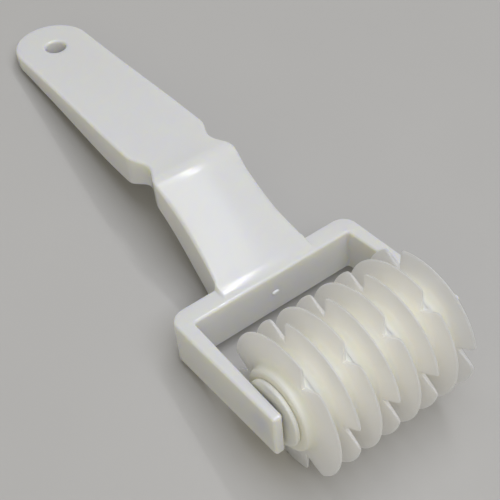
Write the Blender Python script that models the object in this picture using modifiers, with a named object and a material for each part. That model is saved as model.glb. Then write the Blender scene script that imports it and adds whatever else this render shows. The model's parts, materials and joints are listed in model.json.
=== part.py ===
"""Lattice roller cutter: eight three-bladed wheels on a keyed axle, in a forked handle.

Tool frame, in which every piece is drawn: the roller turns about X, Y runs back along
the handle and Z is square to the fork. The whole tool is then tipped back until the
roller's blades and the handle's end both stand on the table, Z = 0.
"""

import math

import bmesh
import bpy
from mathutils import Matrix, Vector

MM = 0.001

# Cutter wheels: each is turned half a blade's step from the one before.
WHEEL_COUNT = 8
BLADES_PER_WHEEL = 3
WHEEL_RADIUS = 21.2 * MM
WHEEL_PITCH = 6.68 * MM
WHEEL_GAP = 0.1 * MM
HUB_RADIUS = 12.2 * MM
HUB_EDGE = 0.12 * MM
END_HUB_EDGE = 0.8 * MM
BLADE_RIM = 0.5 * MM
BLADE_ROOT = 1.2 * MM
BLADE_FILLET = 2.3 * MM
NOTCH_ROOT_RADIUS = 14.8 * MM
NOTCH_WIDTH = 7.4 * MM
BLADE_CORNER = 1.5 * MM

# Axle and end collars.
HEX_ACROSS_FLATS = 7.0 * MM
HEX_CLEARANCE = 0.3 * MM
JOURNAL_DIAMETER = 5.0 * MM
JOURNAL_CLEARANCE = 0.3 * MM
JOURNAL_CHAMFER = 0.4 * MM
COLLAR_RADIUS = 9.8 * MM
COLLAR_WIDTH = 1.4 * MM
COLLAR_EDGE = 0.4 * MM
COLLAR_GAP = 0.1 * MM
ROLLER_SHIFT = 0.4 * MM

# Fork: a bar across the back and two arms, about 65 mm wide over the arms.
COLLAR_TO_ARM = 1.08 * MM
SOCKET_WALL = 1.25 * MM
FORK_HEIGHT = 14.0 * MM
FORK_ABOVE_AXLE = 6.0 * MM
BLADE_TO_BAR = 13.4 * MM
BAR_DEPTH = 6.8 * MM
ARM_TIP_AHEAD = 6.0 * MM
ARM_WIDTH_AT_BAR = 4.7 * MM
ARM_WIDTH_AT_TIP = 3.0 * MM
FORK_CORNER = 5.0 * MM
FORK_INNER_CORNER = 1.0 * MM
FORK_TIP_CORNER = 0.9 * MM
FORK_EDGE = 0.5 * MM
GATE_RADIUS = 1.3 * MM
GATE_HEIGHT = 0.3 * MM

# Neck: rises from the bar to the bend where the grip begins.
NECK_LENGTH = 28.2 * MM
NECK_ANGLE = math.radians(32.3)
NECK_WIDTH = 27.2 * MM
NECK_FOOT_RISE = 2.2 * MM
NECK_THICKNESS = 14.5 * MM
NECK_CROWN = 0.7 * MM
NECK_CROWN_START = 8.0 * MM
NECK_FLARE = 2.0 * MM
FLARE_LENGTH = 19.0 * MM
FOOT_BLEND = 3.2 * MM
BEND_BLEND = 3.0 * MM

# Grip: a flat wedge, a little narrower at its round end, with a finger and a thumb notch.
GRIP_LENGTH = 95.5 * MM
GRIP_WIDTH = 27.5 * MM
GRIP_END_WIDTH = 25.2 * MM
GRIP_RISE = math.radians(2.8)
GRIP_END_THICKNESS = 4.6 * MM
GRIP_TAIL_THICKNESS = 6.7 * MM
GRIP_TAIL_LENGTH = 29.0 * MM
GRIP_STEP_THICKNESS = 10.4 * MM
NOTCH_LENGTH = 16.4 * MM
NOTCH_DEPTH = 2.5 * MM
NOTCH_THICKNESS = 8.0 * MM
SHOULDER_WIDTH = 28.2 * MM
SHOULDER_THICKNESS = 9.4 * MM
TOP_EDGE = 0.9 * MM
BOTTOM_EDGE = 0.6 * MM
HANG_HOLE_DIAMETER = 6.8 * MM
HANG_HOLE_LIP = 0.4 * MM
HANG_HOLE_TO_END = 14.3 * MM

OVERRUN = 2.0 * MM
SINK = 0.3 * MM
MERGE_DISTANCE = 0.001 * MM

# How far down the neck its widths and depths are set, and how far back the grip's step is.
UPPER_NECK_SHARE = 0.74
UPPER_NECK_DEPTH_SHARE = 0.57
LOWER_NECK_SHARE = 0.38
NOTCH_BACK_SHARE = 0.6
CROWN_SHARES = (0.75, 0.5, 0.25, 0.0)

# How finely the round forms are divided; angles in degrees.
WHEEL_SIDES = 48
JOURNAL_SIDES = 32
HOLE_SIDES = 32
GATE_SIDES = 16
FILLET_STEPS = 2
CORNER_STEPS = 2
COLLAR_EDGE_STEPS = 1
FORK_CORNER_STEPS = 6
EDGE_ANGLES = (0, 30, 60, 90)
LIP_ANGLES = (0, 45, 90)
END_ANGLES = (0, 12, 24, 36, 48, 60, 70, 79, 86)
GRIP_SECTION_COUNT = 7
NOTCH_SECTION_COUNT = 20
NECK_SECTION_COUNT = 2
FLARE_SECTION_COUNT = 7
FOOT_SECTION_COUNT = 7
BEVEL_ABOVE = math.radians(60)
SHARP_ABOVE = math.radians(35)

IVORY = (0.80, 0.79, 0.74)
WARM_IVORY = (0.82, 0.79, 0.70)
AXLE_WHITE = (0.74, 0.73, 0.68)

# A turned or extruded piece is drawn about Z, then its Z becomes the axle's X.
Z_TO_AXLE = Matrix(((0, 0, 1, 0), (1, 0, 0, 0), (0, 1, 0, 0), (0, 0, 0, 1)))

# Across the tool, the arms stand clear of the collars, and the collars of the wheels.
HALF_STACK = WHEEL_COUNT * WHEEL_PITCH / 2 - WHEEL_GAP / 2
COLLAR_INNER = HALF_STACK + COLLAR_GAP
COLLAR_OUTER = COLLAR_INNER + COLLAR_WIDTH

# Along the tool, each place follows the one before it.
BAR_FRONT = WHEEL_RADIUS + BLADE_TO_BAR
BAR_BACK = BAR_FRONT + BAR_DEPTH
BEND = BAR_BACK + NECK_LENGTH
NOTCH_MIDDLE = BEND + NOTCH_LENGTH / 2
NOTCH_END = BEND + NOTCH_LENGTH
GRIP_STEP = NOTCH_MIDDLE + NOTCH_LENGTH * NOTCH_BACK_SHARE
GRIP_END = BEND + GRIP_LENGTH
GRIP_ROUND_CENTRE = GRIP_END - GRIP_END_WIDTH / 2
HANG_HOLE_CENTRE = GRIP_END - HANG_HOLE_TO_END

FORK_TOP = FORK_ABOVE_AXLE
FORK_BOTTOM = FORK_ABOVE_AXLE - FORK_HEIGHT


def clear_scene():
    for obj in list(bpy.data.objects):
        bpy.data.objects.remove(obj, do_unlink=True)


def new_collection(name):
    collection = bpy.data.collections.new(name)
    bpy.context.scene.collection.children.link(collection)
    return collection


def plastic(name, colour, roughness):
    material = bpy.data.materials.new(name)
    material.use_nodes = True
    shader = material.node_tree.nodes["Principled BSDF"]
    shader.inputs["Base Color"].default_value = (*colour, 1)
    shader.inputs["Roughness"].default_value = roughness
    shader.inputs["Metallic"].default_value = 0
    return material


def add_object(name, mesh, collection):
    obj = bpy.data.objects.new(name, mesh)
    collection.objects.link(obj)
    return obj


def as_helper(obj):
    obj.hide_render = True
    obj.display_type = "WIRE"
    return obj


def finished_mesh(obj, name):
    """The object's mesh with its modifiers applied and its loose caps joined on."""
    bpy.context.view_layer.update()
    graph = bpy.context.evaluated_depsgraph_get()
    mesh = bpy.data.meshes.new_from_object(obj.evaluated_get(graph))
    mesh.name = name
    bm = bmesh.new()
    bm.from_mesh(mesh)
    bmesh.ops.remove_doubles(bm, verts=bm.verts, dist=MERGE_DISTANCE)
    bm.to_mesh(mesh)
    bm.free()
    return mesh


def remade(obj, name, collection, turn=None):
    """Swaps a curve or a modified object for a plain mesh object of the same shape."""
    mesh = finished_mesh(obj, name)
    bpy.data.objects.remove(obj, do_unlink=True)
    if turn:
        mesh.transform(turn)
    return add_object(name, mesh, collection)


def turned(name, profile, sides, collection):
    """Spins (radius, height) points, given from the top down, about Z."""
    mesh = bpy.data.meshes.new(name)
    points = [(radius, 0, height) for radius, height in profile]
    mesh.from_pydata(points, [(i, i + 1) for i in range(len(points) - 1)], [])
    obj = add_object(name, mesh, collection)
    screw = obj.modifiers.new("turn", "SCREW")
    screw.axis = "Z"
    screw.steps = screw.render_steps = sides
    screw.use_merge_vertices = True
    screw.merge_threshold = MERGE_DISTANCE
    return obj


def extruded(name, outlines, bottom, top, collection):
    """A flat outline, or several, as a 2D curve extruded from bottom to top."""
    curve = bpy.data.curves.new(name, "CURVE")
    curve.dimensions = "2D"
    curve.fill_mode = "BOTH"
    curve.extrude = (top - bottom) / 2
    for outline in outlines:
        spline = curve.splines.new("POLY")
        spline.points.add(len(outline) - 1)
        for point, (x, y) in zip(spline.points, outline):
            point.co = (x, y, 0, 1)
        spline.use_cyclic_u = True
    obj = add_object(name, curve, collection)
    obj.location.z = (top + bottom) / 2
    return remade(obj, name, collection, Matrix.Translation(obj.location))


def boolean(obj, other, operation):
    modifier = obj.modifiers.new(f"{operation.lower()} {other.name}", "BOOLEAN")
    modifier.operation = operation
    modifier.object = other
    modifier.solver = "EXACT"


def bevel(obj, width):
    modifier = obj.modifiers.new("bevel", "BEVEL")
    modifier.width = width
    modifier.segments = CORNER_STEPS
    modifier.limit_method = "ANGLE"
    modifier.angle_limit = BEVEL_ABOVE


def arc(centre, radius, start, end, steps):
    """Points of an arc, in the order from start to end, angles in degrees."""
    points = []
    for i in range(steps + 1):
        angle = math.radians(start + (end - start) * i / steps)
        points.append((centre[0] + radius * math.cos(angle), centre[1] + radius * math.sin(angle)))
    return points


def smooth_value(stations, place):
    """Monotone cubic through (place, value) stations: it never swells past a station."""
    stations = sorted(stations)
    if place <= stations[0][0]:
        return stations[0][1]
    if place >= stations[-1][0]:
        return stations[-1][1]
    slopes = [(b[1] - a[1]) / (b[0] - a[0]) for a, b in zip(stations, stations[1:])]
    tangents = [0.0]
    for before, after in zip(slopes, slopes[1:]):
        level = before * after <= 0
        tangents.append(0.0 if level else 2 * before * after / (before + after))
    tangents.append(0.0)
    i = max(k for k, station in enumerate(stations[:-1]) if station[0] <= place)
    (start, low), (end, high) = stations[i], stations[i + 1]
    run = end - start
    t = (place - start) / run
    return (
        low * (2 * t**3 - 3 * t**2 + 1)
        + high * (3 * t**2 - 2 * t**3)
        + tangents[i] * run * (t**3 - 2 * t**2 + t)
        + tangents[i + 1] * run * (t**3 - t**2)
    )


def blended_low(a, b, reach):
    """The lower of two heights, eased over a height difference of reach."""
    near = max(reach - abs(a - b), 0) / reach
    return min(a, b) - near * near * reach / 4


# Handle: the fork, the neck and the grip are one moulding.

def grip_top(y):
    """The straight line of the grip's top face, from the bend above the neck."""
    return neck_top(BEND) + (y - BEND) * math.tan(GRIP_RISE)


def neck_top(y):
    return FORK_TOP + NECK_FOOT_RISE + (y - BAR_BACK) * math.tan(NECK_ANGLE)


def upper_neck():
    return BAR_BACK + UPPER_NECK_SHARE * NECK_LENGTH


def foot_place():
    """Where the neck's straight top would run into the bar's top."""
    return BAR_BACK - NECK_FOOT_RISE / math.tan(NECK_ANGLE)


def top_height(y):
    turn = math.tan(NECK_ANGLE) - math.tan(GRIP_RISE)
    upper = blended_low(neck_top(y), grip_top(y), BEND_BLEND * turn)
    lower_reach = FOOT_BLEND * math.tan(NECK_ANGLE)
    return -blended_low(-upper, -FORK_TOP, lower_reach)


def thickness(y):
    deepening = NECK_THICKNESS - SHOULDER_THICKNESS
    stations = [
        (GRIP_END, GRIP_END_THICKNESS),
        (GRIP_END - GRIP_TAIL_LENGTH, GRIP_TAIL_THICKNESS),
        (GRIP_STEP, GRIP_STEP_THICKNESS),
        (NOTCH_MIDDLE, NOTCH_THICKNESS),
        (BEND, SHOULDER_THICKNESS),
        (upper_neck(), SHOULDER_THICKNESS + UPPER_NECK_DEPTH_SHARE * deepening),
        (BAR_BACK + LOWER_NECK_SHARE * NECK_LENGTH, NECK_THICKNESS),
        (BAR_BACK, NECK_THICKNESS),
        (foot_place() - FOOT_BLEND, FORK_HEIGHT - SINK),
    ]
    return smooth_value(stations, y)


def half_width(y):
    if y > GRIP_ROUND_CENTRE:
        return math.sqrt(max((GRIP_END_WIDTH / 2) ** 2 - (y - GRIP_ROUND_CENTRE) ** 2, 0))
    stations = [
        (GRIP_ROUND_CENTRE, GRIP_END_WIDTH / 2),
        (NOTCH_END, GRIP_WIDTH / 2),
        (NOTCH_MIDDLE, GRIP_WIDTH / 2 - NOTCH_DEPTH),
        (BEND, SHOULDER_WIDTH / 2),
        (upper_neck(), NECK_WIDTH / 2),
    ]
    flare = min(max(1 - (y - BAR_BACK) / FLARE_LENGTH, 0), 1)
    return smooth_value(stations, y) + NECK_FLARE * flare * flare


def crown(y):
    """The neck's top is crowned across, and runs out flat into the grip and the bar."""
    stations = [
        (foot_place(), 0),
        (BAR_BACK + NECK_CROWN_START, NECK_CROWN),
        (BEND - BEND_BLEND, NECK_CROWN),
        (NOTCH_MIDDLE, 0),
    ]
    return smooth_value(stations, y)


def edge_drop(x, y, edge):
    """How far a rounded edge lies below the face, at this distance from the outline."""
    if y > GRIP_ROUND_CENTRE:
        inset = GRIP_END_WIDTH / 2 - math.hypot(x, y - GRIP_ROUND_CENTRE)
    else:
        inset = half_width(y) - abs(x)
    inset = min(max(inset, 0), edge)
    return edge - math.sqrt(edge**2 - (edge - inset) ** 2)


def row_places(y, edge):
    """The x places across a section: close together round its edges."""
    width = half_width(y)
    edge = min(edge, width / 2)
    side = [width - edge * (1 - math.cos(math.radians(angle))) for angle in EDGE_ANGLES]
    inner = [share * (width - edge) for share in CROWN_SHARES]
    right = side + inner
    return right + [-x for x in reversed(right[:-1])]


def section(y, sink):
    """One closed ring of points across the handle, top from +X to -X, then the bottom."""
    top = top_height(y) - sink
    bottom = top_height(y) - thickness(y)
    width = half_width(y)
    ring = []
    for x in row_places(y, TOP_EDGE):
        rise = crown(y) * (1 - (x / width) ** 2)
        ring.append(Vector((x, y, top + rise - edge_drop(x, y, TOP_EDGE))))
    for x in reversed(row_places(y, BOTTOM_EDGE)):
        ring.append(Vector((x, y, bottom + edge_drop(x, y, BOTTOM_EDGE))))
    return ring


def section_places():
    """Where the sections stand along Y: evenly by stretches, closer where it bends."""
    neck_start = BEND - BEND_BLEND
    flare_end = BAR_BACK + FLARE_LENGTH
    foot_end = foot_place() - FOOT_BLEND
    stretches = [
        (GRIP_ROUND_CENTRE, GRIP_STEP, GRIP_SECTION_COUNT),
        (GRIP_STEP, neck_start, NOTCH_SECTION_COUNT),
        (neck_start, flare_end, NECK_SECTION_COUNT),
        (flare_end, BAR_BACK, FLARE_SECTION_COUNT),
        (BAR_BACK, foot_end, FOOT_SECTION_COUNT),
    ]
    ends = [math.sin(math.radians(angle)) for angle in reversed(END_ANGLES)]
    places = [GRIP_ROUND_CENTRE + GRIP_END_WIDTH / 2 * end for end in ends]
    for start, end, count in stretches:
        places += [start + (end - start) * i / count for i in range(1, count + 1)]
    return places


def handle_blank(collection):
    """The grip and the neck, lofted through their sections, its front sunk in the bar."""
    places = section_places()
    bm = bmesh.new()
    rings = []
    for y in places:
        sink = SINK if y == places[-1] else 0
        rings.append([bm.verts.new(point) for point in section(y, sink)])
    for ring, after in zip(rings, rings[1:]):
        for i in range(len(ring)):
            j = (i + 1) % len(ring)
            bm.faces.new((ring[i], ring[j], after[j], after[i]))
    bm.faces.new(rings[0])
    bm.faces.new(reversed(rings[-1]))
    bmesh.ops.recalc_face_normals(bm, faces=bm.faces)
    mesh = bpy.data.meshes.new("handle_frame")
    bm.to_mesh(mesh)
    bm.free()
    return add_object("handle_frame", mesh, collection)


def arm_width(y):
    """The arms thin towards their tips."""
    share = (BAR_FRONT - y) / (BAR_FRONT + ARM_TIP_AHEAD)
    return ARM_WIDTH_AT_BAR + share * (ARM_WIDTH_AT_TIP - ARM_WIDTH_AT_BAR)


def fork_side():
    """Half the fork's width: its arms stand clear of the collars beside the axle."""
    return COLLAR_OUTER + COLLAR_TO_ARM + arm_width(0)


def fork_outline():
    """Half the fork seen from above, from the tip's inner corner round to the bar."""
    side = fork_side()
    tip = -ARM_TIP_AHEAD
    small = FORK_TIP_CORNER
    inner_tip = side - arm_width(tip)
    inner_bar = side - arm_width(BAR_FRONT)
    back = (side - FORK_CORNER, BAR_BACK - FORK_CORNER)
    half = arc((inner_tip + small, tip + small), small, 180, 270, CORNER_STEPS)
    half += arc((side - small, tip + small), small, 270, 360, CORNER_STEPS)
    half += arc(back, FORK_CORNER, 0, 90, FORK_CORNER_STEPS)
    mirrored = [(-x, y) for x, y in reversed(half)]
    corner = FORK_INNER_CORNER
    bay = arc((inner_bar - corner, BAR_FRONT - corner), corner, 90, 0, CORNER_STEPS)
    return half + mirrored + [(-x, y) for x, y in reversed(bay)] + bay


def fork(helpers):
    blank = extruded("fork_blank", [fork_outline()], FORK_BOTTOM, FORK_TOP, helpers)
    bevel(blank, FORK_EDGE)
    return as_helper(remade(blank, "fork", helpers))


def gate_mark(helpers):
    """The small flat disc left where the moulding was filled, inside the bar."""
    depth = GATE_HEIGHT + SINK
    bm = bmesh.new()
    place = Matrix.Translation((0, BAR_FRONT - GATE_HEIGHT + depth / 2, 0))
    lying = Matrix.Rotation(math.radians(90), 4, "X")
    bmesh.ops.create_cone(
        bm, cap_ends=True, segments=GATE_SIDES, radius1=GATE_RADIUS, radius2=GATE_RADIUS,
        depth=depth, matrix=place @ lying,
    )
    mesh = bpy.data.meshes.new("gate_mark")
    bm.to_mesh(mesh)
    bm.free()
    return as_helper(add_object("gate_mark", mesh, helpers))


def socket_floor():
    return fork_side() - SOCKET_WALL


def socket_cutter(helpers, side):
    """A blind bearing hole in one arm, drawn a little past the arm's inner face."""
    radius = JOURNAL_DIAMETER / 2 + JOURNAL_CLEARANCE
    start = fork_side() - arm_width(0) - OVERRUN
    depth = socket_floor() - start
    bm = bmesh.new()
    place = Matrix.Translation((side * (start + depth / 2), 0, 0))
    bmesh.ops.create_cone(
        bm, cap_ends=True, segments=JOURNAL_SIDES, radius1=radius, radius2=radius,
        depth=depth, matrix=place @ Z_TO_AXLE,
    )
    name = "socket_left" if side < 0 else "socket_right"
    mesh = bpy.data.meshes.new(name)
    bm.to_mesh(mesh)
    bm.free()
    return as_helper(add_object(name, mesh, helpers))


def hang_hole_cutter(helpers):
    """A round hole whose lips are eased, near the grip's round end."""
    top = top_height(HANG_HOLE_CENTRE)
    bottom = top - thickness(HANG_HOLE_CENTRE)
    radius = HANG_HOLE_DIAMETER / 2
    lip = HANG_HOLE_LIP
    turns = [math.radians(angle) for angle in LIP_ANGLES]
    upper = [(radius + lip * (1 - math.sin(a)), top - lip * (1 - math.cos(a))) for a in turns]
    lower = [(r, bottom + (top - z)) for r, z in reversed(upper)]
    profile = [(0, top + OVERRUN), (radius + lip, top + OVERRUN)] + upper
    profile += lower + [(radius + lip, bottom - OVERRUN), (0, bottom - OVERRUN)]
    cutter = turned("hang_hole_profile", profile, HOLE_SIDES, helpers)
    place = Matrix.Translation((0, HANG_HOLE_CENTRE, 0))
    return as_helper(remade(cutter, "hang_hole", helpers, place))


def handle_frame(parts, helpers):
    frame = handle_blank(parts)
    boolean(frame, fork(helpers), "UNION")
    boolean(frame, gate_mark(helpers), "UNION")
    for side in (-1, 1):
        boolean(frame, socket_cutter(helpers, side), "DIFFERENCE")
    boolean(frame, hang_hole_cutter(helpers), "DIFFERENCE")
    mesh = finished_mesh(frame, "handle_frame")
    frame.modifiers.clear()
    frame.data = mesh
    finish(frame, plastic("ivory_plastic", IVORY, 0.32))
    return frame


# Roller: wheels, collars and the axle that keys them together.

def wheel_side(edge, edge_steps):
    """(radius, height) down one side of a wheel: hub end, hub edge, fillet and blade."""
    end = WHEEL_PITCH / 2 - WHEEL_GAP / 2
    # The fillet is limited by the hub's width, less its edge and a little flat beside it.
    fillet = min(BLADE_FILLET, end - edge - HUB_EDGE - BLADE_ROOT / 2)
    centre = (BLADE_ROOT / 2 + fillet, HUB_RADIUS + fillet)
    side = arc((HUB_RADIUS - edge, end - edge), edge, 90, 0, edge_steps)
    side += [(radius, height) for height, radius in arc(centre, fillet, 270, 180, FILLET_STEPS)]
    return [(0, end)] + side + [(WHEEL_RADIUS, BLADE_RIM / 2)]


def wheel_profile(is_end):
    """A wheel's two sides: the outer hub edge of an end wheel is rounded."""
    inner = wheel_side(HUB_EDGE, 1)
    outer = wheel_side(END_HUB_EDGE, CORNER_STEPS) if is_end else inner
    return inner + [(radius, -height) for radius, height in reversed(outer)]


def notch_outline(angle):
    """A V cut between two blades, eased where it leaves their corners at the rim."""
    depth = WHEEL_RADIUS - NOTCH_ROOT_RADIUS
    slope = math.atan2(NOTCH_WIDTH / 2, depth)
    corner = BLADE_CORNER
    # The corner's arc touches the V's wall and, from inside, the rim's circle.
    ring = WHEEL_RADIUS - corner
    off = NOTCH_ROOT_RADIUS * math.sin(slope) - corner
    along = slope - math.asin(off / ring)
    centre = (ring * math.cos(along), ring * math.sin(along))
    wall_side = math.degrees(slope) - 90
    rim_side = math.degrees(along)
    rounded = arc(centre, corner, wall_side, rim_side, CORNER_STEPS)
    mouth = (WHEEL_RADIUS + OVERRUN) / WHEEL_RADIUS
    reach = (rounded[-1][0] * mouth, rounded[-1][1] * mouth)
    upper = rounded + [reach]
    outline = [(NOTCH_ROOT_RADIUS, 0)] + [(x, -y) for x, y in upper] + list(reversed(upper))
    turn = Matrix.Rotation(angle, 2)
    return [tuple(turn @ Vector(point)) for point in outline]


def notch_cutter(helpers):
    step = 2 * math.pi / BLADES_PER_WHEEL
    outlines = [notch_outline(i * step) for i in range(BLADES_PER_WHEEL)]
    half = BLADE_ROOT / 2 + OVERRUN
    return as_helper(extruded("blade_notches", outlines, -half, half, helpers))


def hexagon(across_flats, length):
    """A six-sided bar about Z."""
    radius = across_flats / 2 / math.cos(math.radians(30))
    bm = bmesh.new()
    bmesh.ops.create_cone(
        bm, cap_ends=True, segments=6, radius1=radius, radius2=radius, depth=length,
    )
    mesh = bpy.data.meshes.new("hexagon")
    bm.to_mesh(mesh)
    bm.free()
    return mesh


def hex_cutter(helpers):
    mesh = hexagon(HEX_ACROSS_FLATS + HEX_CLEARANCE * 2, WHEEL_PITCH + OVERRUN * 2)
    return as_helper(add_object("hex_bore", mesh, helpers))


def keyed_mesh(name, profile, cutters, helpers):
    """The mesh of a turned piece, cut, with its axis along the axle."""
    blank = remade(turned("blank", profile, WHEEL_SIDES, helpers), "blank", helpers)
    for cutter in cutters:
        boolean(blank, cutter, "DIFFERENCE")
    piece = remade(blank, name, helpers, Z_TO_AXLE)
    mesh = piece.data
    bpy.data.objects.remove(piece)
    return mesh


def cutter_wheels(parts, helpers, roller, bore):
    """Wheels along the axle; the last is like the first, turned end for end."""
    cutters = [notch_cutter(helpers), bore]
    material = plastic("wheel_plastic", WARM_IVORY, 0.38)
    middle = keyed_mesh("cutter_wheel", wheel_profile(False), cutters, helpers)
    end = keyed_mesh("end_wheel", wheel_profile(True), cutters, helpers)
    for mesh in (middle, end):
        mesh.materials.append(material)
    half_step = math.pi / BLADES_PER_WHEEL
    for i in range(WHEEL_COUNT):
        last = i == WHEEL_COUNT - 1
        wheel = add_object(f"cutter_wheel_{i + 1}", end if i == 0 or last else middle, parts)
        wheel.parent = roller
        wheel.location.x = (i - (WHEEL_COUNT - 1) / 2) * WHEEL_PITCH
        # Turned end for end, three blades stand half a step round already.
        wheel.rotation_euler.z = math.pi if last else 0
        wheel.rotation_euler.x = half_step * ((i + last) % 2)
        shade(wheel)


def end_collars(parts, helpers, roller, bore):
    """A keyed ring at each end keeps the hubs off the arms."""
    half = COLLAR_WIDTH / 2
    centre = (COLLAR_RADIUS - COLLAR_EDGE, half - COLLAR_EDGE)
    edge = arc(centre, COLLAR_EDGE, 90, 0, COLLAR_EDGE_STEPS)
    profile = [(0, half)] + edge + [(r, -z) for r, z in reversed(edge)] + [(0, -half)]
    mesh = keyed_mesh("end_collar", profile, [bore], helpers)
    mesh.materials.append(plastic("collar_plastic", WARM_IVORY, 0.35))
    for side, name in ((-1, "end_collar_left"), (1, "end_collar_right")):
        ring = add_object(name, mesh, parts)
        ring.parent = roller
        ring.location.x = side * (COLLAR_INNER + COLLAR_OUTER) / 2
        shade(ring)


def roller_axle(parts, helpers, roller):
    """A hexagonal bar through every hub, with a round journal at each end."""
    bar = as_helper(add_object("axle_bar", hexagon(HEX_ACROSS_FLATS, COLLAR_OUTER * 2), helpers))
    end = socket_floor() - JOURNAL_CLEARANCE - ROLLER_SHIFT
    radius = JOURNAL_DIAMETER / 2
    chamfer = JOURNAL_CHAMFER
    half = [(0, end), (radius - chamfer, end), (radius, end - chamfer)]
    profile = half + [(r, -z) for r, z in reversed(half)]
    blank = remade(turned("axle_blank", profile, JOURNAL_SIDES, helpers), "axle_blank", helpers)
    boolean(blank, bar, "UNION")
    axle = remade(blank, "roller_axle", parts, Z_TO_AXLE)
    axle.parent = roller
    finish(axle, plastic("axle_plastic", AXLE_WHITE, 0.4))


def shade(obj):
    obj.data.shade_smooth()
    obj.data.set_sharp_from_angle(angle=SHARP_ABOVE)


def finish(obj, material):
    obj.data.materials.clear()
    obj.data.materials.append(material)
    shade(obj)


# Rest pose: the roller's blades and the grip's end stand on the table.

def resting_tilt(mesh):
    """The least turn that brings a point of the handle down to the roller's tangent."""
    turns = []
    for vert in mesh.vertices:
        reach = math.hypot(vert.co.y, vert.co.z)
        if vert.co.y > WHEEL_RADIUS:
            turns.append(math.atan2(vert.co.z, vert.co.y) + math.asin(WHEEL_RADIUS / reach))
    return min(turns)


def rest_on_table(tool, mesh):
    """Tips the tool back, and centres its box over the origin with Z = 0 the table."""
    tilt = resting_tilt(mesh)
    turn = Matrix.Rotation(-tilt, 4, "X")
    back = max((turn @ vert.co).y for vert in mesh.vertices)
    tool.rotation_euler.x = -tilt
    tool.location = (0, (WHEEL_RADIUS - back) / 2, WHEEL_RADIUS)
    print("tilt", round(math.degrees(tilt), 4), "axle at", tuple(tool.location))


def empty(name, parts, parent=None):
    obj = add_object(name, None, parts)
    obj.empty_display_size = WHEEL_RADIUS
    obj.parent = parent
    return obj


def main():
    clear_scene()
    parts = new_collection("lattice_roller_cutter")
    helpers = new_collection("cutters")
    tool = empty("tool", parts)
    roller = empty("roller_spin", parts, tool)
    # The roller lies a little to the left, as far as its play in the fork lets it.
    roller.location.x = -ROLLER_SHIFT
    frame = handle_frame(parts, helpers)
    frame.parent = tool
    bore = hex_cutter(helpers)
    cutter_wheels(parts, helpers, roller, bore)
    end_collars(parts, helpers, roller, bore)
    roller_axle(parts, helpers, roller)
    rest_on_table(tool, frame.data)


main()
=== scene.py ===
import json
import math

import bmesh
import bpy
from bpy.props import FloatProperty, FloatVectorProperty, IntProperty, PointerProperty
from bpy.types import Operator, Panel, PropertyGroup
from mathutils import Euler, Matrix, Vector


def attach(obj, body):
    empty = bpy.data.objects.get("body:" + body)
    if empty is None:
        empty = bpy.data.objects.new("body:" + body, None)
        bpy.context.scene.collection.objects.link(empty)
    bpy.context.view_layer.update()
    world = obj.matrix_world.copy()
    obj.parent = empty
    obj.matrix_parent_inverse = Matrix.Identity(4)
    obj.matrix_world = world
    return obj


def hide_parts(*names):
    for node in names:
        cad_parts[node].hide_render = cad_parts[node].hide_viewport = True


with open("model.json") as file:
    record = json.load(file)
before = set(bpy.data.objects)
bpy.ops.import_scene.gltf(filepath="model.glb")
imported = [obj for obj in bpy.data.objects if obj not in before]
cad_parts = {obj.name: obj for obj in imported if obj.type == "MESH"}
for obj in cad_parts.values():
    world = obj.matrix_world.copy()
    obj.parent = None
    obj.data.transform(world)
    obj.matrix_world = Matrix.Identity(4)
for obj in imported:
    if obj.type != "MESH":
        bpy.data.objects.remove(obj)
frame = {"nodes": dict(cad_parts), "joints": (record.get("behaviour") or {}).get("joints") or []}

bl_info = {
    "name": "Lattice roller cutter",
    "version": (1, 0, 0),
    "blender": (4, 5, 0),
    "location": "View3D > Sidebar > Lattice roller",
    "description": "Builds the moulded handle and the cutting wheels round the packed frame",
    "category": "Add Mesh",
}

MM = 0.001
TINY = 0.001 * MM

# The tool frame: the roller turns about X, Y runs back along the handle, and Z is
# square to the fork. The tool is tipped back until it rests on its blades and on the
# grip's end.
AXLE = Vector(frame["joints"][0]["pos_m"])
TILT = math.radians(16.3298)
TOOL = Matrix.Translation(AXLE) @ Matrix.Rotation(-TILT, 4, "X")

# Roller.
WHEEL_COUNT = 8
BLADES_PER_WHEEL = 3
WHEEL_RADIUS = 21.2 * MM
WHEEL_PITCH = 6.68 * MM
WHEEL_GAP = 0.1 * MM
HUB_SEAM = 0.01 * MM
HUB_RADIUS = 12.2 * MM
BLADE_RIM = 0.5 * MM
BLADE_ROOT = 1.2 * MM
BLADE_ROOT_RADIUS = 14.5 * MM
NOTCH_ROOT_RADIUS = 14.8 * MM
NOTCH_WIDTH = 7.4 * MM
NOTCH_CROWDING = 0.62
BORE_ACROSS_FLATS = 7.6 * MM
COLLAR_RADIUS = 9.8 * MM
COLLAR_WIDTH = 1.4 * MM
COLLAR_GAP = 0.1 * MM
ROLLER_SHIFT = 0.4 * MM
HALF_STACK = (WHEEL_COUNT * WHEEL_PITCH - WHEEL_GAP) / 2
COLLAR_OUTER = HALF_STACK + COLLAR_GAP + COLLAR_WIDTH

# Fork.
COLLAR_TO_ARM = 1.08 * MM
SOCKET_WALL = 1.25 * MM
SOCKET_RADIUS = 2.8 * MM
SOCKET_EDGE = 0.3 * MM
DRILL_OVERHANG = 1.5 * MM
FORK_TOP = 6.0 * MM
FORK_BOTTOM = -8.0 * MM
BAR_FRONT = 34.6 * MM
BAR_BACK = 41.4 * MM
ARM_TIP = -6.0 * MM
ARM_WIDTH_AT_BAR = 4.7 * MM
ARM_WIDTH_AT_TIP = 3.0 * MM
BAR_UNDERSIDE_RUN = 1.6 * MM
SLAB = FORK_TOP - FORK_BOTTOM

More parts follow.
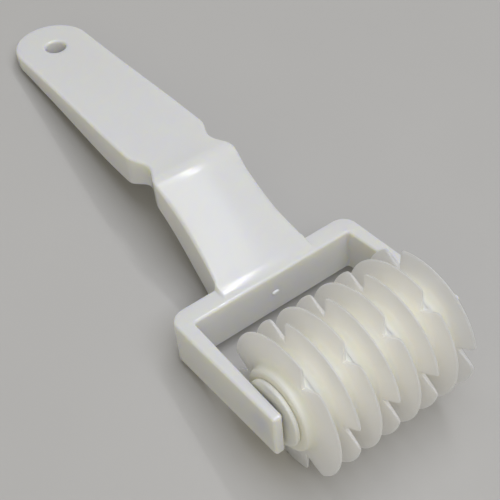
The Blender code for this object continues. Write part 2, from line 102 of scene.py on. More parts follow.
# Neck and grip.
NECK_LENGTH = 28.2 * MM
NECK_ANGLE = math.radians(32.3)
NECK_WIDTH = 27.2 * MM
NECK_FOOT_RISE = 2.2 * MM
NECK_THICKNESS = 14.5 * MM
NECK_CROWN = 0.7 * MM
NECK_CROWN_START = 8.0 * MM
NECK_FLARE = 2.0 * MM
FLARE_LENGTH = 19.0 * MM
FLARE_REACH = 22.0 * MM
FOOT_SIDE = 0.8 * MM
FOOT_BLEND = 3.2 * MM
BEND_BLEND = 3.0 * MM
BEND = BAR_BACK + NECK_LENGTH
UPPER_NECK_SHARE = 0.74
UPPER_NECK_DEPTH_SHARE = 0.57
LOWER_NECK_SHARE = 0.38

# The neck's soft top shoulders: how far they drop at the side, how steeply, and how
# they fade in above the bar and out below the bend.
SHOULDER_DROP = 0.9 * MM
SHOULDER_POWER = 6
SHOULDER_START = 1.0 * MM
SHOULDER_FADE_IN = 9 * MM
SHOULDER_FADE_OUT = 6 * MM

GRIP_END = BEND + 95.5 * MM
GRIP_WIDTH = 27.5 * MM
GRIP_END_WIDTH = 25.2 * MM
GRIP_RISE = math.radians(2.8)
GRIP_END_THICKNESS = 4.6 * MM
GRIP_TAIL_THICKNESS = 6.7 * MM
GRIP_TAIL_LENGTH = 29.0 * MM
GRIP_STEP_THICKNESS = 10.4 * MM
GRIP_ROUND_CENTRE = GRIP_END - GRIP_END_WIDTH / 2
HOLE_CENTRE = GRIP_END - 14.3 * MM
NOTCH_LENGTH = 16.4 * MM
NOTCH_DEPTH = 2.5 * MM
NOTCH_THICKNESS = 8.0 * MM
NOTCH_MIDDLE = BEND + NOTCH_LENGTH / 2
NOTCH_BACK_SHARE = 0.6
GRIP_STEP = NOTCH_MIDDLE + NOTCH_LENGTH * NOTCH_BACK_SHARE
SHOULDER_WIDTH = 28.2 * MM
SHOULDER_THICKNESS = 9.4 * MM

# The gate mark is an oval nub on the bar's inner face. It stands out by its height, and
# the oval is as tall as this share of its width.
GATE_HEIGHT = 0.6 * MM
GATE_SHARE = 0.55
GATE_LIFT = -0.65 * MM
GATE_SINK = 0.2 * MM

# The camera, in the tool frame, with its angles in degrees.
CAMERA_PLACE = (-0.12143, -0.13785, 0.20740)
CAMERA_ANGLES = (47.6859, 4.4092, -37.5126)
SENSOR_WIDTH = 36

# The floor lies just below the grip's end, which reaches 0.05 mm further down than the
# CAD model's facets do.
FLOOR_HALF_SIZE = 3.0
FLOOR_DROP = 0.06 * MM

# Each lamp's place, size and colour. The neck's left shoulder mirrors the key's edge,
# and the bend mirrors the strip.
KEY_LAMP = ((0.05, -0.10, 0.90), (0.7, 1.15), (0.87, 0.90, 1.0))
STRIP_LAMP = ((0.29, 0.19, 0.75), (0.014, 0.30), (1, 1, 1))
FILL_LAMP = ((-0.6, -0.5, 0.5), (0.9, 0.9), (1.0, 0.95, 0.78))
SKY_COLOUR = (1.0, 0.96, 0.82, 1)

# Steps that rounds are made of, and cuts along long edges.
CORNER_STEPS = 10
WIDE_CORNER_STEPS = 20
NECK_CORNER_STEPS = 5
GRIP_END_STEPS = 44
GRIP_SIDE_CUTS = 170
HANDLE_EDGE_STEPS = 5
GATE_STEPS = 48
SOCKET_STEPS = 96
SOCKET_EDGE_STEPS = 4
HUB_EDGE_STEPS = 2
END_HUB_EDGE_STEPS = 6
FILLET_STEPS = 8
RIM_EDGE_STEPS = 4
COLLAR_EDGE_STEPS = 6
FLANK_CUTS = 9

# Where the handle's faces are cut across and along, as spans with a start, an end and a
# step: closer where the surface bends.
CUTS_ACROSS = (
    (1.0 * MM, 13.0 * MM, 1.0 * MM),
    (13.4 * MM, 18.6 * MM, 0.26 * MM),
)
CUTS_ALONG = (
    (BAR_FRONT + 0.3 * MM, BAR_BACK + 3.0 * MM, 0.33 * MM),
    (BAR_BACK + 3.6 * MM, BEND - 4.5 * MM, 1.0 * MM),
    (BEND - 4.2 * MM, BEND + 4.2 * MM, 0.35 * MM),
    (BEND + 4.8 * MM, BEND + 24 * MM, 0.8 * MM),
    (BEND + 25.5 * MM, GRIP_END - 2 * MM, 2.0 * MM),
)


class HandleSettings(PropertyGroup):
    """The handle's plastic, and the radii of its edges and corners"""

    colour: FloatVectorProperty(
        name="Colour", description="Colour of the handle's plastic",
        default=(0.795, 0.80, 0.80), subtype="COLOR", size=3, min=0, max=1,
    )
    deep_colour: FloatVectorProperty(
        name="Deep colour", description="Warmer tint where the flow of the plastic shows",
        default=(0.79, 0.79, 0.775), subtype="COLOR", size=3, min=0, max=1,
    )
    roughness: FloatProperty(
        name="Roughness", description="Roughness of the moulded face", default=0.13,
        min=0.05, max=1, subtype="FACTOR",
    )
    top_edge: FloatProperty(
        name="Top edge", description="Radius of the edges round the top face",
        default=0.8 * MM, min=0.1 * MM, max=0.95 * MM, unit="LENGTH",
    )
    bottom_edge: FloatProperty(
        name="Bottom edge", description="Radius of the edges round the underside",
        default=0.6 * MM, min=0.1 * MM, max=0.8 * MM, unit="LENGTH",
    )
    fork_corner: FloatProperty(
        name="Fork corner", description="Radius of the fork's two back corners",
        default=5.0 * MM, min=1.0 * MM, max=6.0 * MM, unit="LENGTH",
    )
    tip_corner: FloatProperty(
        name="Tip corner", description="Radius of the corners of the arms' tips",
        default=0.9 * MM, min=0.1 * MM, max=1.4 * MM, unit="LENGTH",
    )
    inner_corner: FloatProperty(
        name="Inner corner", description="Radius where the arms leave the bar, inside",
        default=1.0 * MM, min=0.1 * MM, max=3.0 * MM, unit="LENGTH",
    )
    neck_corner: FloatProperty(
        name="Neck corner", description="Radius of the neck's corners on the bar",
        default=0.5 * MM, min=0.1 * MM, max=1.5 * MM, unit="LENGTH",
    )
    hole: FloatProperty(
        name="Hang hole", description="Diameter of the hole in the grip's end",
        default=6.8 * MM, min=2.0 * MM, max=12.0 * MM, unit="LENGTH",
    )
    gate: FloatProperty(
        name="Gate mark", description="Width of the small oval nub inside the bar",
        default=2.6 * MM, min=1.5 * MM, max=4.0 * MM, unit="LENGTH",
    )


class RollerSettings(PropertyGroup):
    """The wheels' and collars' plastic, and their edge radii"""

    blade_colour: FloatVectorProperty(
        name="Blade colour", description="Colour of the thin blades",
        default=(1.0, 0.98, 0.945), subtype="COLOR", size=3, min=0, max=1,
    )
    # The hubs' warmer colour is painted warm light, bounced and scattered in the valleys between
    # the blades.
    hub_colour_with_glow: FloatVectorProperty(
        name="Hub colour", description="Warmer colour of the thick hubs",
        default=(1.0, 0.965, 0.82), subtype="COLOR", size=3, min=0, max=1,
    )
    roughness: FloatProperty(
        name="Roughness", description="Roughness of the wheels", default=0.36,
        min=0.05, max=1, subtype="FACTOR",
    )
    fillet: FloatProperty(
        name="Fillet", description="Radius where a blade leaves its hub",
        default=2.3 * MM, min=0.5 * MM, max=2.5 * MM, unit="LENGTH",
    )
    end_fillet: FloatProperty(
        name="End fillet", description="Radius where the end blades leave the outer hubs",
        default=1.7 * MM, min=0.5 * MM, max=1.75 * MM, unit="LENGTH",
    )
    rim_edge: FloatProperty(
        name="Rim edge", description="Radius of the edges along a blade's rim",
        default=0.16 * MM, min=0.05 * MM, max=0.24 * MM, unit="LENGTH",
    )
    blade_corner: FloatProperty(
        name="Blade corner", description="Radius of a blade's corners at a notch",
        default=1.5 * MM, min=0.2 * MM, max=3.0 * MM, unit="LENGTH",
    )
    hub_edge: FloatProperty(
        name="Hub edge", description="Radius of a hub's edges between two wheels",
        default=0.04 * MM, min=0.01 * MM, max=0.3 * MM, unit="LENGTH",
    )
    end_hub_edge: FloatProperty(
        name="End hub edge", description="Radius of the roller's two outer hub edges",
        default=0.9 * MM, min=0.1 * MM, max=1.2 * MM, unit="LENGTH",
    )
    collar_edge: FloatProperty(
        name="Collar edge", description="Radius of the collars' edges",
        default=0.5 * MM, min=0.1 * MM, max=0.7 * MM, unit="LENGTH",
    )
    steps: IntProperty(
        name="Steps", description="How many steps a wheel is spun in", default=288,
        min=48, max=720,
    )


class StageSettings(PropertyGroup):
    """The floor, the lamps, the surroundings and the camera"""

    floor_colour: FloatVectorProperty(
        name="Floor", description="Colour of the floor", default=(0.51, 0.50, 0.48),
        subtype="COLOR", size=3, min=0, max=1,
    )
    key_power: FloatProperty(
        name="Key", description="Power of the large lamp overhead", default=6.1,
        min=0, max=200, unit="POWER",
    )
    strip_power: FloatProperty(
        name="Strip", description="Power of the narrow lamp that draws the highlights",
        default=0.5, min=0, max=200, unit="POWER",
    )
    fill_power: FloatProperty(
        name="Fill", description="Power of the weaker lamp in front", default=1.1,
        min=0, max=200, unit="POWER",
    )
    sky: FloatProperty(
        name="Surroundings", description="Level of the even light all round",
        default=0.25, min=0, max=2,
    )
    lens: FloatProperty(
        name="Lens", description="The camera's focal length in millimetres",
        default=74.1466, min=10, max=300,
    )


# Shapes shared by the handle's faces.

def eased(share):
    """Smooth step from 0 to 1."""
    share = min(max(share, 0), 1)
    return share * share * (3 - 2 * share)


def smooth_value(stations, place):
    """Monotone cubic through (place, value) stations: it never swells past a station."""
    stations = sorted(stations)
    if place <= stations[0][0]:
        return stations[0][1]
    if place >= stations[-1][0]:
        return stations[-1][1]
    slopes = [(b[1] - a[1]) / (b[0] - a[0]) for a, b in zip(stations, stations[1:])]
    tangents = [0.0]
    for before, after in zip(slopes, slopes[1:]):
        level = before * after <= 0
        tangents.append(0.0 if level else 2 * before * after / (before + after))
    tangents.append(0.0)
    i = max(k for k, station in enumerate(stations[:-1]) if station[0] <= place)
    (start, low), (end, high) = stations[i], stations[i + 1]
    run = end - start
    t = (place - start) / run
    return (
        low * (2 * t**3 - 3 * t**2 + 1)
        + high * (3 * t**2 - 2 * t**3)
        + tangents[i] * run * (t**3 - 2 * t**2 + t)
        + tangents[i + 1] * run * (t**3 - t**2)
    )


def blended_low(a, b, reach):
    """The lower of two heights, eased over a height difference of reach."""
    near = max(reach - abs(a - b), 0) / reach
    return min(a, b) - near * near * reach / 4


def neck_line(y):
    """Height of the neck's straight slope."""
    return FORK_TOP + NECK_FOOT_RISE + (y - BAR_BACK) * math.tan(NECK_ANGLE)


def spine_height(y):
    """Height of the top face along the middle of the handle, without its crown."""
    turn = math.tan(NECK_ANGLE) - math.tan(GRIP_RISE)
    grip = neck_line(BEND) + (y - BEND) * math.tan(GRIP_RISE)
    upper = blended_low(neck_line(y), grip, BEND_BLEND * turn)
    return -blended_low(-upper, -FORK_TOP, FOOT_BLEND * math.tan(NECK_ANGLE))


# Stations along the handle: place and value.
UPPER_NECK = BAR_BACK + UPPER_NECK_SHARE * NECK_LENGTH
NECK_DEEPENING = NECK_THICKNESS - SHOULDER_THICKNESS
THICKNESSES = [
    (GRIP_END, GRIP_END_THICKNESS),
    (GRIP_END - GRIP_TAIL_LENGTH, GRIP_TAIL_THICKNESS),
    (GRIP_STEP, GRIP_STEP_THICKNESS),
    (NOTCH_MIDDLE, NOTCH_THICKNESS),
    (BEND, SHOULDER_THICKNESS),
    (UPPER_NECK, SHOULDER_THICKNESS + UPPER_NECK_DEPTH_SHARE * NECK_DEEPENING),
    (BAR_BACK + LOWER_NECK_SHARE * NECK_LENGTH, NECK_THICKNESS),
    (BAR_BACK, NECK_THICKNESS),
]
HALF_WIDTHS = [
    (GRIP_ROUND_CENTRE, GRIP_END_WIDTH / 2),
    (BEND + NOTCH_LENGTH, GRIP_WIDTH / 2),
    (NOTCH_MIDDLE, GRIP_WIDTH / 2 - NOTCH_DEPTH),
    (BEND, SHOULDER_WIDTH / 2),
    (UPPER_NECK, NECK_WIDTH / 2),
]
CROWNS = [
    (BAR_FRONT, 0),
    (BAR_BACK + NECK_CROWN_START, NECK_CROWN),
    (BEND - BEND_BLEND, NECK_CROWN),
    (NOTCH_MIDDLE, 0),
]


def half_width(y):
    """Half the width of the neck or the grip, with the neck's flare towards the bar."""
    flare = min(max(1 - (y - BAR_BACK) / FLARE_LENGTH, 0), 1)
    return smooth_value(HALF_WIDTHS, y) + NECK_FLARE * flare * flare


class Heights:
    """Heights of the top and the underside, kept for each place along the handle."""

    def __init__(self):
        self.known = {}

    def along(self, y):
        key = round(y / TINY)
        if key not in self.known:
            self.known[key] = (
                spine_height(y), smooth_value(THICKNESSES, y), half_width(y),
                smooth_value(CROWNS, y),
            )
        return self.known[key]

    def rounding(self, y):
        """How much of the neck's soft shoulders shows here: none at the bar or the grip."""
        above_bar = eased((y - BAR_BACK - SHOULDER_START) / SHOULDER_FADE_IN)
        return above_bar * eased((BEND - y) / SHOULDER_FADE_OUT)

    def top(self, x, y):
        spine, _, width, crown = self.along(y)
        rise = crown * max(1 - (x / width) ** 2, 0)
        rise -= SHOULDER_DROP * self.rounding(y) * min(abs(x) / width, 1) ** SHOULDER_POWER
        held = 1 - eased((abs(x) - width) / FOOT_SIDE)
        return FORK_TOP + (spine + rise - FORK_TOP) * held

    def bottom(self, y):
        spine, thickness, _, _ = self.along(y)
        under = spine - thickness
        return FORK_BOTTOM + (under - FORK_BOTTOM) * eased((y - BAR_BACK) / BAR_UNDERSIDE_RUN)


# Mesh helpers.

SHARP_ANGLE = math.radians(40)


def corner_bevel(bm, vert, radius, steps):
    """Rounds one corner of a flat outline."""
    bmesh.ops.bevel(
        bm, geom=[vert], offset=radius, offset_type="OFFSET", segments=steps,
        profile=0.5, affect="VERTICES", clamp_overlap=False, material=-1,
    )


def edge_bevel(bm, edges, radius, steps):
    """Rounds edges."""
    bmesh.ops.bevel(
        bm, geom=edges, offset=radius, offset_type="OFFSET", segments=steps,
        profile=0.5, affect="EDGES", clamp_overlap=False, material=-1,
    )


def outline_face(bm, corners):
    """A flat face from (x, y, corner radius, steps) corners, with the corners rounded."""
    verts = [bm.verts.new((x, y, 0)) for x, y, _, _ in corners]
    for vert, after in zip(verts, verts[1:] + verts[:1]):
        bm.edges.new((vert, after))
    bmesh.ops.contextual_create(bm, geom=bm.edges[:])
    for vert, (_, _, radius, steps) in zip(verts, corners):
        if radius > 0:
            corner_bevel(bm, vert, radius, steps)
    bmesh.ops.remove_doubles(bm, verts=bm.verts, dist=TINY)


def outline_loop(bm, corners):
    """The outline alone, without its face, ready to be spun."""
    outline_face(bm, corners)
    bmesh.ops.delete(bm, geom=bm.faces[:], context="FACES_ONLY")


def spun(bm, steps):
    """Spins the open outline in bm about X, and closes it."""
    bmesh.ops.spin(
        bm, geom=bm.verts[:] + bm.edges[:], cent=(0, 0, 0), axis=(1, 0, 0),
        angle=2 * math.pi, steps=steps, use_merge=True,
    )
    bmesh.ops.remove_doubles(bm, verts=bm.verts, dist=TINY)
    bmesh.ops.recalc_face_normals(bm, faces=bm.faces)


def all_of(bm):
    """Everything in the mesh, for an operator's geom."""
    return bm.verts[:] + bm.edges[:] + bm.faces[:]


def mirrored(bm):
    """Adds the mesh's mirror image on the other side of X = 0."""
    bmesh.ops.mirror(bm, geom=all_of(bm), axis="X")


def piece(name, bm, material, body, slot, *nodes):
    """Makes the mesh an object in the world's frame, riding on its body."""
    bmesh.ops.transform(bm, matrix=TOOL, verts=bm.verts)
    mesh = bpy.data.meshes.new(name)
    bm.to_mesh(mesh)
    bm.free()
    mesh.materials.append(material)
    mesh.shade_smooth()
    mesh.set_sharp_from_angle(angle=SHARP_ANGLE)
    obj = bpy.data.objects.new(name, mesh)
    bpy.context.scene.collection.objects.link(obj)
    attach(obj, body)
    if nodes:
        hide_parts(*nodes)
    return obj


# Materials.

PLASTIC_IOR = 1.49
NOISE_ROUGHNESS = 0.55
WHEEL_MATERIAL = "warm_ivory_plastic"

# How far red, green and blue light spread below each plastic's face, as shares of the
# depth that follows.
HANDLE_SPREAD = (1.0, 0.90, 0.32)
WHEEL_SPREAD = (1.0, 0.93, 0.76)
PLAIN_SPREAD = (1.0, 0.88, 0.55)
HANDLE_DEPTH = 4.0 * MM
HUB_DEPTH = 2.6 * MM
BLADE_DEPTH = 11.0 * MM
GATE_DEPTH = 1.2 * MM
AXLE_DEPTH = 1.0 * MM

# The handle's clouds, hairline marks, smudges, slow waves and fine grain.
MOTTLE_SHARE = 0.12
MOTTLE_LEVEL = 0.95
MARK_ROUGHNESS = 0.03
MARK_DEPTH = 0.0008 * MM
HANDLE_SMUDGES = (-0.02, 0.05)
HANDLE_WAVE = 0.03 * MM
GRAIN = 0.004 * MM

# The wheels turn from hub to blade colour, and from hub to blade depth, out to these radii. The
# hubs' warmer colour is painted warm light bounced in the valleys, and the rims are a little
# scuffed and painted lighter, a painted highlight.
BLADE_COLOUR_RADIUS = 17.5 * MM
BLADE_DEPTH_RADIUS = 18.0 * MM
COLOUR_WANDER = 5 * MM
# The rim band is painted lighter: a little wear, and a painted highlight along the rims.
SCUFF_AND_SHEEN_INSIDE = 0.9 * MM
SCUFF_AND_SHEEN_OUTSIDE = 0.6 * MM
SCUFF_AND_SHEEN_SHARE = 0.45
SCUFF_AND_SHEEN_LEVEL = 1.04
WHEEL_SMUDGES = (-0.05, 0.10)
WHEEL_WAVE = 0.05 * MM

# The gate's colour is lifted above the handle's, a painted glint.
GATE_GLINT_HIGH = 1.15
GATE_GLINT_LOW = 1.05
GATE_BUMP = 0.05 * MM
AXLE_COLOURS = ((0.74, 0.72, 0.64, 1), (0.69, 0.66, 0.56, 1))
AXLE_MARKS = 0.01 * MM
FLOOR_LEVEL = 1.03


def add_node(tree, kind, values=None, **settings):
    """A node with its settings, and its inputs set to values or linked to sockets."""
    node = tree.nodes.new(kind)
    for key, value in settings.items():
        setattr(node, key, value)
    for key, value in (values or {}).items():
        if isinstance(value, bpy.types.NodeSocket):
            tree.links.new(value, node.inputs[key])
        else:
            node.inputs[key].default_value = value
    return node


def noise(tree, place, scale, detail=3, stretch=(1, 1, 1)):
    """Noise over the piece's own coordinates, with this many features to the metre."""
    mapped = add_node(tree, "ShaderNodeMapping", {"Vector": place, "Scale": stretch})
    return add_node(
        tree, "ShaderNodeTexNoise",
        {
            "Vector": mapped.outputs[0], "Scale": scale, "Detail": detail,
            "Roughness": NOISE_ROUGHNESS,
        },
    ).outputs["Fac"]


def ranged(tree, value, low, high, to_low=0, to_high=1):
    """Maps low to high onto to_low to to_high, and holds it there outside."""
    return add_node(
        tree, "ShaderNodeMapRange",
        {"Value": value, "From Min": low, "From Max": high, "To Min": to_low, "To Max": to_high},
        clamp=True,
    ).outputs[0]


def mixed(tree, share, a, b):
    """The colour a, changed into b by the share."""
    # The mix node's inputs share their names, so they are told apart by their places.
    values = {0: share, 6: a, 7: b}
    return add_node(tree, "ShaderNodeMix", values, data_type="RGBA").outputs[2]


def combined(tree, operation, a, b):
    """The result of a sum or the like on two values."""
    return add_node(tree, "ShaderNodeMath", {0: a, 1: b}, operation=operation).outputs[0]


def bumped(tree, height, distance, normal=None):
    """A normal for a face raised by height times distance."""
    values = {"Height": height, "Distance": distance, "Strength": 1.0}
    if normal:
        values["Normal"] = normal
    return add_node(tree, "ShaderNodeBump", values).outputs[0]


def rgba(colour, level=1.0):
    """The colour at this level, with its alpha."""
    return (*(min(channel * level, 1) for channel in colour), 1)


def new_tree(name):
    """A new material, its node tree, its shader and its Object coordinates."""
    material = bpy.data.materials.new(name)
    material.use_nodes = True
    tree = material.node_tree
    shader = tree.nodes["Principled BSDF"]
    place = tree.nodes.new("ShaderNodeTexCoord").outputs["Object"]
    return material, tree, shader, place


def linked(tree, shader, colour, roughness, normal):
    """Links what varies over the face to the shader."""
    tree.links.new(colour, shader.inputs["Base Color"])
    tree.links.new(roughness, shader.inputs["Roughness"])
    tree.links.new(normal, shader.inputs["Normal"])


def plastic_sockets(shader, depth, spread, subsurface=1.0):
    """The values that are the same all over a moulded, slightly translucent piece."""
    shader.inputs["Metallic"].default_value = 0
    shader.inputs["IOR"].default_value = PLASTIC_IOR
    shader.inputs["Subsurface Weight"].default_value = subsurface
    shader.inputs["Subsurface Radius"].default_value = spread
    shader.inputs["Subsurface Scale"].default_value = depth


def scratches(tree, place):
    """Hairline handling marks, most of them along the piece."""
    along = noise(tree, place, scale=520, detail=2, stretch=(1.0, 0.045, 1.0))
    across = noise(tree, place, scale=420, detail=2, stretch=(0.06, 1.0, 0.4))
    return combined(
        tree, "MAXIMUM", ranged(tree, along, 0.66, 0.72),
        ranged(tree, across, 0.69, 0.75, to_high=0.7),
    )


def smudged(tree, place, roughness, reach, scale, detail):
    """The roughness, taken down and up by soft smudges."""
    smudge = noise(tree, place, scale, detail)
    return ranged(tree, smudge, 0.35, 0.7, roughness + reach[0], roughness + reach[1])


def handle_plastic(settings):
    """Ivory plastic with faint clouds and marks, and a face that isn't quite even."""
    material, tree, shader, place = new_tree("ivory_plastic")
    flow = noise(tree, place, scale=30, stretch=(1.0, 0.35, 1.0))
    cloud = noise(tree, place, scale=170, detail=4)
    tint = mixed(
        tree, ranged(tree, flow, 0.36, 0.66), rgba(settings.colour), rgba(settings.deep_colour)
    )
    mottled = mixed(
        tree, ranged(tree, cloud, 0.4, 0.8, to_high=MOTTLE_SHARE), tint,
        rgba(settings.colour, MOTTLE_LEVEL),
    )
    marks = scratches(tree, place)
    base = smudged(tree, place, settings.roughness, HANDLE_SMUDGES, scale=85, detail=5)
    roughness = combined(tree, "ADD", base, combined(tree, "MULTIPLY", marks, MARK_ROUGHNESS))
    wave = bumped(tree, noise(tree, place, scale=60, detail=1), HANDLE_WAVE)
    grain = bumped(tree, noise(tree, place, scale=2600, detail=2), GRAIN, wave)
    normal = bumped(tree, combined(tree, "SUBTRACT", 1.0, marks), MARK_DEPTH, grain)
    linked(tree, shader, mottled, roughness, normal)
    plastic_sockets(shader, HANDLE_DEPTH, HANDLE_SPREAD)
    return material


def axle_distance(tree, place):
    """How far each point lies from the roller's axis."""
    centred = add_node(
        tree, "ShaderNodeMapping", {"Vector": place, "Location": (0, -AXLE.y, -AXLE.z)}
    ).outputs[0]
    flat = add_node(
        tree, "ShaderNodeVectorMath", {0: centred, 1: (0, 1, 1)}, operation="MULTIPLY"
    ).outputs[0]
    return add_node(tree, "ShaderNodeVectorMath", {0: flat}, operation="LENGTH").outputs["Value"]


def wheel_plastic(settings):
    """Cream at the thick hubs, with painted warm bounce light in the valleys between the blades,
    paler and greyer out along the thin blades.
    """
    material, tree, shader, place = new_tree(WHEEL_MATERIAL)
    radius = axle_distance(tree, place)
    cloud = noise(tree, place, scale=240, detail=4)
    wander = combined(tree, "MULTIPLY", combined(tree, "SUBTRACT", cloud, 0.5), COLOUR_WANDER)
    reach = combined(tree, "ADD", radius, wander)
    # The warmer hub colour, fading out towards the blades, paints the warm bounce light in the
    # valleys.
    tint = mixed(
        tree, ranged(tree, reach, HUB_RADIUS, BLADE_COLOUR_RADIUS), rgba(settings.hub_colour_with_glow),
        rgba(settings.blade_colour),
    )
    # A lighter band along the rims: a little wear and a painted highlight.
    scuff_and_sheen = ranged(
        tree, reach, WHEEL_RADIUS - SCUFF_AND_SHEEN_INSIDE, WHEEL_RADIUS + SCUFF_AND_SHEEN_OUTSIDE,
        to_high=SCUFF_AND_SHEEN_SHARE,
    )
    scuffed_and_sheened = mixed(tree, scuff_and_sheen, tint, rgba(settings.blade_colour, SCUFF_AND_SHEEN_LEVEL))
    roughness = smudged(tree, place, settings.roughness, WHEEL_SMUDGES, scale=130, detail=4)
    wave = bumped(tree, noise(tree, place, scale=130, detail=2), WHEEL_WAVE)
    normal = bumped(tree, noise(tree, place, scale=2800, detail=2), GRAIN, wave)
    linked(tree, shader, scuffed_and_sheened, roughness, normal)
    plastic_sockets(shader, HUB_DEPTH, WHEEL_SPREAD)
    depth = ranged(tree, radius, HUB_RADIUS, BLADE_DEPTH_RADIUS, HUB_DEPTH, BLADE_DEPTH)
    tree.links.new(depth, shader.inputs["Subsurface Scale"])
    return material


def wheel_material(settings):
    """The wheels' plastic, made once for the wheels and the collars."""
    return bpy.data.materials.get(WHEEL_MATERIAL) or wheel_plastic(settings)


def gate_glint_plastic(settings):
    """The broken-off gate is glassier than the moulding round it, and its colour is painted
    lighter, a painted glint.
    """
    material, tree, shader, place = new_tree("gate_glint_plastic")
    cloud = noise(tree, place, scale=900)
    tint = mixed(
        tree, ranged(tree, cloud, 0.35, 0.7), rgba(settings.colour, GATE_GLINT_HIGH),
        rgba(settings.colour, GATE_GLINT_LOW),
    )
    linked(
        tree, shader, tint, ranged(tree, cloud, 0.3, 0.7, 0.10, 0.22),
        bumped(tree, cloud, GATE_BUMP),
    )
    plastic_sockets(shader, GATE_DEPTH, PLAIN_SPREAD, subsurface=0.3)
    return material


def axle_plastic():
    """A plainer, matt plastic with turning marks round it."""
    material, tree, shader, place = new_tree("axle_plastic")
    rings = noise(tree, place, scale=900, detail=2, stretch=(1.0, 0.05, 0.05))
    cloud = noise(tree, place, scale=200)
    linked(
        tree, shader, mixed(tree, ranged(tree, cloud, 0.35, 0.7), *AXLE_COLOURS),
        ranged(tree, rings, 0.3, 0.7, 0.36, 0.5), bumped(tree, rings, AXLE_MARKS),
    )
    plastic_sockets(shader, AXLE_DEPTH, PLAIN_SPREAD, subsurface=0.2)
    return material


def floor_surface(colour):
    """Pale, matt and almost even."""
    material, tree, shader, place = new_tree("floor_paper")
    cloud = noise(tree, place, scale=9)
    tint = mixed(
        tree, ranged(tree, cloud, 0.35, 0.7), rgba(colour), rgba(colour, FLOOR_LEVEL)
    )
    tree.links.new(tint, shader.inputs["Base Color"])
    shader.inputs["Roughness"].default_value = 0.7
    shader.inputs["Specular IOR Level"].default_value = 0.25
    return material


# Handle.

def arm_width(y):
    """The arms thin towards their tips."""
    share = (BAR_FRONT - y) / (BAR_FRONT - ARM_TIP)
    return ARM_WIDTH_AT_BAR + share * (ARM_WIDTH_AT_TIP - ARM_WIDTH_AT_BAR)


FORK_SIDE = COLLAR_OUTER + COLLAR_TO_ARM + arm_width(0)


def handle_corners(settings):
    """Half the handle seen from above, with its side along the grip still straight."""
    hole = settings.hole / 2
    side = GRIP_END_WIDTH / 2
    return [
        (0, BAR_FRONT, 0, 0),
        (FORK_SIDE - arm_width(BAR_FRONT), BAR_FRONT, settings.inner_corner, CORNER_STEPS),
        (FORK_SIDE - arm_width(ARM_TIP), ARM_TIP, settings.tip_corner, CORNER_STEPS),
        (FORK_SIDE, ARM_TIP, settings.tip_corner, CORNER_STEPS),
        (FORK_SIDE, BAR_BACK, settings.fork_corner, WIDE_CORNER_STEPS),
        (side, BAR_BACK, settings.neck_corner, NECK_CORNER_STEPS),
        (side, GRIP_END, side, GRIP_END_STEPS),
        (0, GRIP_END, 0, 0),
        (0, HOLE_CENTRE + hole, 0, 0),
        (hole, HOLE_CENTRE + hole, hole, WIDE_CORNER_STEPS),
        (hole, HOLE_CENTRE - hole, hole, WIDE_CORNER_STEPS),
        (0, HOLE_CENTRE - hole, 0, 0),
    ]


def shaped_side(bm):
    """Adds points along the neck's and the grip's side, and moves them to its outline."""
    side = GRIP_END_WIDTH / 2
    long_edge = max(
        (e for e in bm.edges if all(abs(v.co.x - side) < TINY for v in e.verts)),
        key=lambda e: e.calc_length(),
    )
    bmesh.ops.subdivide_edges(bm, edges=[long_edge], cuts=GRIP_SIDE_CUTS)
    for vert in bm.verts:
        if vert.co.x > side / 2 and BAR_BACK - TINY < vert.co.y < GRIP_ROUND_CENTRE:
            near = min(max((FLARE_REACH - vert.co.x) / (FLARE_REACH - side), 0), 1)
            vert.co.x += (half_width(vert.co.y) - side) * near


def rims(bm, height):
    """The edges of the outline at this height, without the cut down the middle."""
    return [
        e for e in bm.edges
        if all(abs(v.co.z - height) < TINY for v in e.verts)
        and not all(abs(v.co.x) < TINY for v in e.verts)
        and len(e.link_faces) == 2
    ]


def cut(bm, place, normal):
    """Adds edges where a plane crosses the mesh."""
    bmesh.ops.bisect_plane(bm, geom=all_of(bm), dist=TINY, plane_co=place, plane_no=normal)


def spaced(spans):
    """Evenly spaced places along each span, both its ends included."""
    places = []
    for start, end, step in spans:
        count = max(round((end - start) / step), 1)
        places += [start + (end - start) * i / count for i in range(count + 1)]
    return places


def handle_half(settings):
    """Half the handle as a flat slab with rounded edges, open down the middle."""
    bm = bmesh.new()
    outline_face(bm, handle_corners(settings))
    shaped_side(bm)
    made = bmesh.ops.extrude_face_region(bm, geom=bm.faces[:])
    lifted = [v for v in made["geom"] if isinstance(v, bmesh.types.BMVert)]
    bmesh.ops.translate(bm, vec=(0, 0, SLAB), verts=lifted)
    bmesh.ops.recalc_face_normals(bm, faces=bm.faces)
    edge_bevel(bm, rims(bm, SLAB), settings.top_edge, HANDLE_EDGE_STEPS)
    edge_bevel(bm, rims(bm, 0), settings.bottom_edge, HANDLE_EDGE_STEPS)
    middle = [f for f in bm.faces if all(abs(v.co.x) < TINY for v in f.verts)]
    bmesh.ops.delete(bm, geom=middle, context="FACES_ONLY")
    for x in spaced(CUTS_ACROSS):
        cut(bm, (x, 0, 0), (1, 0, 0))
    for y in spaced(CUTS_ALONG):
        cut(bm, (0, y, 0), (0, 1, 0))
    return bm


def set_heights(bm):
    """Lowers the slab's top and raises its underside to the handle's true faces."""
    heights = Heights()
    for vert in bm.verts:
        x, y, z = vert.co
        if z > SLAB / 2:
            vert.co.z = heights.top(x, y) - (SLAB - z)
        else:
            vert.co.z = heights.bottom(y) + z


def as_object(bm, name):
    """A plain object of the mesh, for use as a Boolean's blank or cutter."""
    mesh = bpy.data.meshes.new(name)
    bm.to_mesh(mesh)
    bm.free()
    obj = bpy.data.objects.new(name, mesh)
    bpy.context.scene.collection.objects.link(obj)
    return obj


